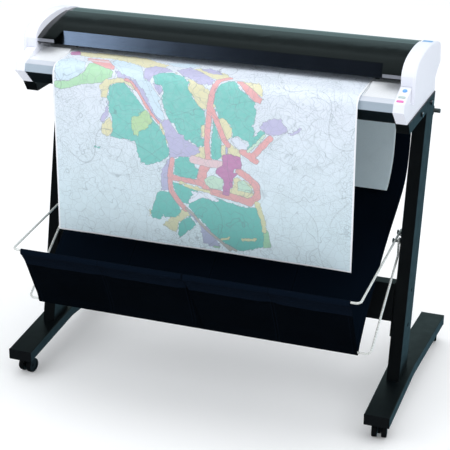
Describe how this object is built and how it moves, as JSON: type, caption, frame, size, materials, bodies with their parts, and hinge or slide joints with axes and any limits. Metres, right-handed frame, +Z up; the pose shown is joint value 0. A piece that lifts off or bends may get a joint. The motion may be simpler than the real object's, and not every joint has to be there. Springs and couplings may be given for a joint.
{
  "type": "large format plotter",
  "caption": "Large format sheet-feed plotter-class machine with a hinged gloss cover, on a raked column stand with casters and a sling cloth document basket, and a map sheet loaded.",
  "frame": {"origin": "on the floor, at the middle of the foot bars", "axes": "+X to the machine's right, +Y to its back, +Z up"},
  "size_m": [1.12, 0.7373, 1.0068],
  "materials": {
    "charcoal_powder_coat": "satin charcoal powder coat",
    "black_plastic": "moulded black nylon",
    "bolt_steel": "zinc plated",
    "black_bolt": "blackened steel",
    "chromed_wire": "bright",
    "navy_cloth": "plain woven polyester",
    "white_housing": "fine texture moulding",
    "table_white": "satin",
    "nose_grey": "satin blue grey",
    "underside_dark": "satin dark teal black",
    "cover_black": "gloss black extrusion",
    "visor_slate": "slate tinted, semi gloss",
    "platen_glass": "clear",
    "zinc_sheet": "galvanised sheet",
    "roller_rubber": "matt",
    "belt_rubber": "matt",
    "circuit_green": "solder mask",
    "button_blue": "smooth",
    "button_grey": "smooth",
    "button_pink": "smooth",
    "label_blue": "printed film",
    "printed_paper": "uncoated paper with a map print",
    "pin_steel": "ground"
  },
  "bodies": {
    "stand": {"left_foot": "charcoal_powder_coat", "right_foot": "charcoal_powder_coat", "foot_end_caps": "black_plastic", "left_column": "charcoal_powder_coat", "right_column": "charcoal_powder_coat", "left_top_arm": "charcoal_powder_coat", "right_top_arm": "charcoal_powder_coat", "arm_joint_plates": "charcoal_powder_coat", "arm_bolts": "bolt_steel", "cross_beam": "charcoal_powder_coat", "beam_bolts": "black_bolt", "rear_rod": "bolt_steel", "rear_rod_brackets": "charcoal_powder_coat", "basket_pegs": "chromed_wire", "upper_wire_loop": "chromed_wire", "lower_wire_loop": "chromed_wire", "basket_fabric": "navy_cloth", "base_chassis": "zinc_sheet", "side_frames": "zinc_sheet", "table_middle": "table_white", "left_ramp_plate": "table_white", "right_ramp_plate": "table_white", "front_nose": "nose_grey", "underside_panel": "underside_dark", "rear_panel": "charcoal_powder_coat", "power_inlet": "black_plastic", "left_base_cap": "white_housing", "right_base_cap": "white_housing", "scan_glass": "platen_glass", "sensor_module": "black_plastic", "drive_motor": "zinc_sheet", "drive_belt": "belt_rubber", "main_board": "circuit_green", "power_supply": "zinc_sheet", "document_sheet": "printed_paper"},
    "lid": {"top_cover": "cover_black", "visor_panel": "visor_slate", "left_lid_cap": "white_housing", "right_lid_cap": "white_housing", "hinge_pins": "pin_steel", "label_plate": "label_blue", "lid_frame": "zinc_sheet"},
    "front_roller": {"front_feed_roller": "roller_rubber"},
    "rear_roller": {"rear_feed_roller": "roller_rubber"},
    "motor_rotor": {"motor_pulley": "pin_steel"},
    "front_idle": {"front_idle_roller": "roller_rubber"},
    "rear_idle": {"rear_idle_roller": "roller_rubber"},
    "start_key": {"start_button": "button_blue"},
    "scan_key": {"scan_button": "button_grey"},
    "stop_key": {"stop_button": "button_pink"},
    "front_left_swivel": {"front_left_caster_housing": "black_plastic"},
    "front_left_wheels": {"front_left_caster_wheels": "black_plastic"},
    "front_right_swivel": {"front_right_caster_housing": "black_plastic"},
    "front_right_wheels": {"front_right_caster_wheels": "black_plastic"},
    "rear_left_swivel": {"rear_left_caster_housing": "black_plastic"},
    "rear_left_wheels": {"rear_left_caster_wheels": "black_plastic"},
    "rear_right_swivel": {"rear_right_caster_housing": "black_plastic"},
    "rear_right_wheels": {"rear_right_caster_wheels": "black_plastic"}
  },
  "joints": [
    {"name": "front_left_caster_swivel", "type": "hinge", "parent": "stand", "child": "front_left_swivel", "pos_m": [-0.526, -0.296, 0.05], "axis": [0, 0, 1], "continuous": true},
    {"name": "front_left_wheel_roll", "type": "hinge", "parent": "front_left_swivel", "child": "front_left_wheels", "pos_m": [-0.5234, -0.28123, 0.021], "axis": [-0.9848, 0.1736, 0], "continuous": true},
    {"name": "front_right_caster_swivel", "type": "hinge", "parent": "stand", "child": "front_right_swivel", "pos_m": [0.526, -0.296, 0.05], "axis": [0, 0, 1], "continuous": true},
    {"name": "front_right_wheel_roll", "type": "hinge", "parent": "front_right_swivel", "child": "front_right_wheels", "pos_m": [0.5234, -0.28123, 0.021], "axis": [-0.9848, -0.1736, 0], "continuous": true},
    {"name": "rear_left_caster_swivel", "type": "hinge", "parent": "stand", "child": "rear_left_swivel", "pos_m": [-0.526, 0.296, 0.05], "axis": [0, 0, 1], "continuous": true},
    {"name": "rear_left_wheel_roll", "type": "hinge", "parent": "rear_left_swivel", "child": "rear_left_wheels", "pos_m": [-0.52212, 0.31049, 0.021], "axis": [-0.9659, 0.2588, 0], "continuous": true},
    {"name": "rear_right_caster_swivel", "type": "hinge", "parent": "stand", "child": "rear_right_swivel", "pos_m": [0.526, 0.296, 0.05], "axis": [0, 0, 1], "continuous": true},
    {"name": "rear_right_wheel_roll", "type": "hinge", "parent": "rear_right_swivel", "child": "rear_right_wheels", "pos_m": [0.52212, 0.31049, 0.021], "axis": [-0.9659, -0.2588, 0], "continuous": true},
    {"name": "lid_hinge", "type": "hinge", "parent": "stand", "child": "lid", "pos_m": [0, 0.092, 0.924], "axis": [-1, 0, 0], "range_deg": [0, 50]},
    {"name": "front_roller_spin", "type": "hinge", "parent": "stand", "child": "front_roller", "pos_m": [0, -0.075, 0.9143], "axis": [1, 0, 0], "continuous": true},
    {"name": "rear_roller_spin", "type": "hinge", "parent": "stand", "child": "rear_roller", "pos_m": [0, 0.045, 0.9143], "axis": [1, 0, 0], "continuous": true},
    {"name": "motor_spin", "type": "hinge", "parent": "stand", "child": "motor_rotor", "pos_m": [0, -0.015, 0.876], "axis": [1, 0, 0], "continuous": true},
    {"name": "front_idle_spin", "type": "hinge", "parent": "lid", "child": "front_idle", "pos_m": [0, -0.075, 0.934], "axis": [1, 0, 0], "continuous": true},
    {"name": "rear_idle_spin", "type": "hinge", "parent": "lid", "child": "rear_idle", "pos_m": [0, 0.045, 0.934], "axis": [1, 0, 0], "continuous": true},
    {"name": "start_button_press", "type": "slide", "parent": "stand", "child": "start_key", "axis": [0, 0.3598, -0.933], "range_m": [0, 0.002], "stiffness_N_per_m": 300},
    {"name": "scan_button_press", "type": "slide", "parent": "stand", "child": "scan_key", "axis": [0, 0.3598, -0.933], "range_m": [0, 0.002], "stiffness_N_per_m": 300},
    {"name": "stop_button_press", "type": "slide", "parent": "stand", "child": "stop_key", "axis": [0, 0.3598, -0.933], "range_m": [0, 0.002], "stiffness_N_per_m": 300}
  ],
  "couplings": [
    {"joint": "rear_roller_spin", "follows": "front_roller_spin", "ratio": 1},
    {"joint": "motor_spin", "follows": "front_roller_spin", "ratio": 1}
  ]
}
